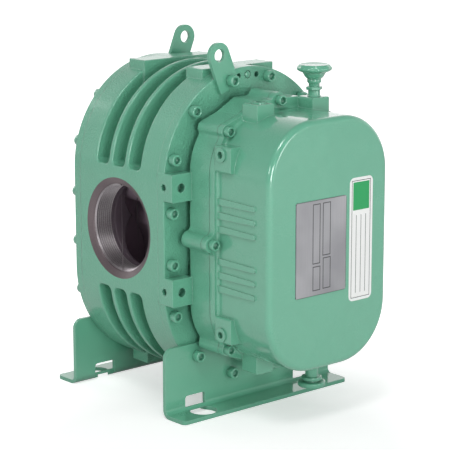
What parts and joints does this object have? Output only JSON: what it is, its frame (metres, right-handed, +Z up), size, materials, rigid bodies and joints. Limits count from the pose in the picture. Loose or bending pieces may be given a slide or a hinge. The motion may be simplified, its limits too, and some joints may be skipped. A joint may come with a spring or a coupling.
{
  "type": "rotary lobe blower",
  "caption": "Rotary lobe blower with stacked two-lobe rotors, ribbed housing, threaded side ports, timing gear cover, bent plate feet and lifting lugs.",
  "frame": {"origin": "floor level, under the middle of the four foot anchor holes, below the middle of the ports", "axes": "+Z up from the floor, +Y along the shafts towards the drive end, +X to the right seen from the gear end"},
  "size_m": [0.272, 0.4329, 0.4488],
  "materials": {
    "green_casting": "gloss paint over cast iron",
    "green_steel": "gloss paint",
    "bare_iron": "machined iron with a brown oil film",
    "ground_steel": "ground",
    "hard_steel": "polished",
    "seal_rubber": "matte",
    "gasket_paper": "matte",
    "plate_metal": "brushed"
  },
  "bodies": {
    "casing": {"bearing_cover": "green_casting", "bearing_cover_gasket": "gasket_paper", "bearing_cover_screws": "green_steel", "breather_body": "green_steel", "breather_cap": "green_steel", "breather_lock_ring": "green_steel", "cover_bottom_plug": "green_steel", "cover_gasket": "gasket_paper", "cover_lower_left_plug": "green_steel", "cover_lower_right_plug": "green_steel", "cover_screws": "green_steel", "cover_top_plug": "green_steel", "cover_upper_left_plug": "green_steel", "cover_upper_right_plug": "green_steel", "drain_fitting": "green_steel", "drive_end_bearing_outer_rings": "hard_steel", "drive_end_dowel_pins": "green_steel", "drive_end_foot": "green_steel", "drive_end_foot_screws": "green_steel", "drive_end_headplate": "green_casting", "drive_end_headplate_screws": "green_steel", "drive_end_lifting_lug": "green_steel", "drive_end_lug_screw": "green_steel", "drive_end_rotor_seals": "seal_rubber", "drive_shaft_seal": "seal_rubber", "gear_cover": "green_casting", "gear_end_bearing_outer_rings": "hard_steel", "gear_end_dowel_pins": "green_steel", "gear_end_foot": "green_steel", "gear_end_foot_screws": "green_steel", "gear_end_headplate": "green_casting", "gear_end_headplate_screws": "green_steel", "gear_end_lifting_lug": "green_steel", "gear_end_lower_left_vent_plug": "green_steel", "gear_end_lower_right_vent_plug": "green_steel", "gear_end_lug_screw": "green_steel", "gear_end_rotor_seals": "seal_rubber", "gear_end_upper_left_vent_plug": "green_steel", "gear_end_upper_right_vent_plug": "green_steel", "nameplate": "plate_metal", "rotor_housing": "green_casting"},
    "drive_train": {"drive_rotor": "bare_iron", "drive_shaft": "ground_steel", "drive_timing_gear": "ground_steel", "drive_gear_nut": "ground_steel", "drive_shaft_inner_rings": "hard_steel"},
    "driven_train": {"driven_rotor": "bare_iron", "driven_shaft": "ground_steel", "driven_timing_gear": "ground_steel", "driven_gear_nut": "ground_steel", "driven_shaft_inner_rings": "hard_steel", "oil_slinger": "ground_steel"},
    "drive_rolling_sets": {"drive_shaft_rolling_sets": "hard_steel"},
    "driven_rolling_sets": {"driven_shaft_rolling_sets": "hard_steel"}
  },
  "joints": [
    {"name": "drive_spin", "type": "hinge", "parent": "casing", "child": "drive_train", "pos_m": [0, 0, 0.2835], "axis": [0, 1, 0], "continuous": true},
    {"name": "driven_spin", "type": "hinge", "parent": "casing", "child": "driven_train", "pos_m": [0, 0, 0.1565], "axis": [0, 1, 0], "continuous": true},
    {"name": "drive_bearing_spin", "type": "hinge", "parent": "casing", "child": "drive_rolling_sets", "pos_m": [0, 0, 0.2835], "axis": [0, 1, 0], "continuous": true},
    {"name": "driven_bearing_spin", "type": "hinge", "parent": "casing", "child": "driven_rolling_sets", "pos_m": [0, 0, 0.1565], "axis": [0, 1, 0], "continuous": true}
  ],
  "couplings": [
    {"joint": "driven_spin", "follows": "drive_spin", "ratio": -1},
    {"joint": "drive_bearing_spin", "follows": "drive_spin", "ratio": 0.39},
    {"joint": "driven_bearing_spin", "follows": "drive_spin", "ratio": -0.39}
  ]
}
